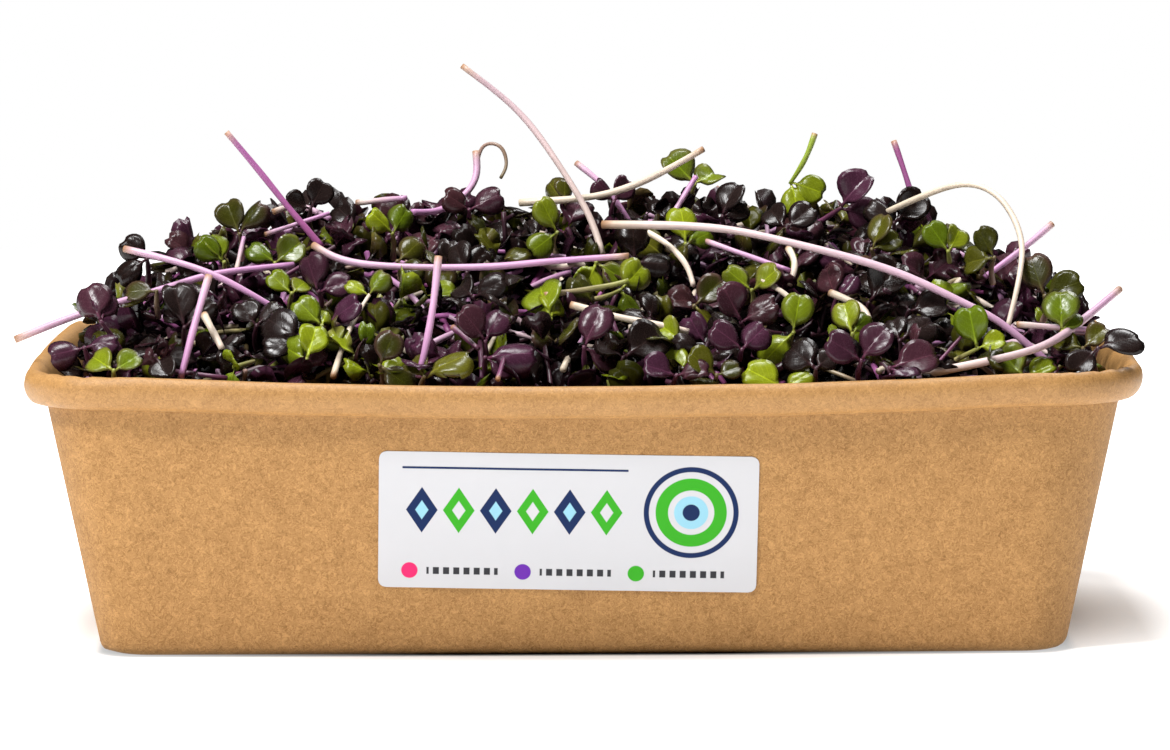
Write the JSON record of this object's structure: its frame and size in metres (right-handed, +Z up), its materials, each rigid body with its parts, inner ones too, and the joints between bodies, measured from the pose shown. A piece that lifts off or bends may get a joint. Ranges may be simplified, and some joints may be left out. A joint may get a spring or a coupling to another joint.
{
  "type": "purple microgreens in a kraft paper tub",
  "caption": "Rectangular kraft paper tub with a rolled rim and a front sticker, heaped with cut purple and green microgreens on pink and cream stems.",
  "frame": {"origin": "on the surface that the tub stands on, under the middle of its rim", "axes": "+Z up, +X along the tub's length to the right of the sticker, -Y out of the front wall"},
  "size_m": [0.1744, 0.1218, 0.0884],
  "materials": {
    "kraft_board": "matt unbleached kraft board with fine fibres",
    "sticker_paper": "smooth white coated paper",
    "stem_pink": "smooth fleshy stem, violet pink",
    "stem_cream": "smooth fleshy stem, cream white",
    "leaf_purple": "glossy seed leaf, dark purple",
    "leaf_dark": "glossy seed leaf, nearly black",
    "leaf_olive": "glossy seed leaf, olive green",
    "leaf_green": "glossy seed leaf, bright green",
    "packed_greens": "pressed dark leaves and stems"
  },
  "bodies": {
    "root": {"tub_wall": "kraft_board", "tub_base": "kraft_board", "front_sticker": "sticker_paper", "stem_tall_arch": "stem_pink", "stem_magenta_left": "stem_pink", "stem_pink_left": "stem_pink", "stem_long_left": "stem_pink", "stem_pink_middle": "stem_pink", "stem_upright_left": "stem_pink", "stem_upright_middle": "stem_pink", "stem_white_top": "stem_cream", "stem_long_right": "stem_pink", "stem_cream_arch": "stem_cream", "stem_pink_right": "stem_pink", "stem_thick_right": "stem_cream", "stem_purple_back": "stem_pink", "stem_pink_top": "stem_pink", "stem_cream_low": "stem_cream", "sprout_far_left": "leaf_purple", "sprout_left_corner": "leaf_dark", "sprout_left_green": "leaf_olive", "sprout_purple_left": "leaf_purple", "sprout_lime_left": "leaf_green", "sprout_cream_left": "leaf_green", "sprout_green_low": "leaf_green", "sprout_black_middle": "leaf_dark", "sprout_hearts": "leaf_purple", "sprout_glossy_middle": "leaf_purple", "sprout_green_crest": "leaf_green", "sprout_green_top": "leaf_green", "sprout_green_centre": "leaf_green", "sprout_purple_centre": "leaf_purple", "sprout_lime_right": "leaf_green", "sprout_mottled": "leaf_olive", "sprout_purple_right": "leaf_purple", "sprout_dark_right": "leaf_dark", "sprout_right_crest": "leaf_purple", "sprout_curled_right": "leaf_green", "sprout_right_green": "leaf_green", "sprout_right_dark_low": "leaf_dark", "sprout_over_rim": "leaf_dark", "sprout_back_left": "leaf_olive", "sprout_back_middle": "leaf_purple", "sprout_back_right": "leaf_green", "sprout_crest_left": "leaf_olive", "packed_greens": "packed_greens"}
  },
  "joints": []
}
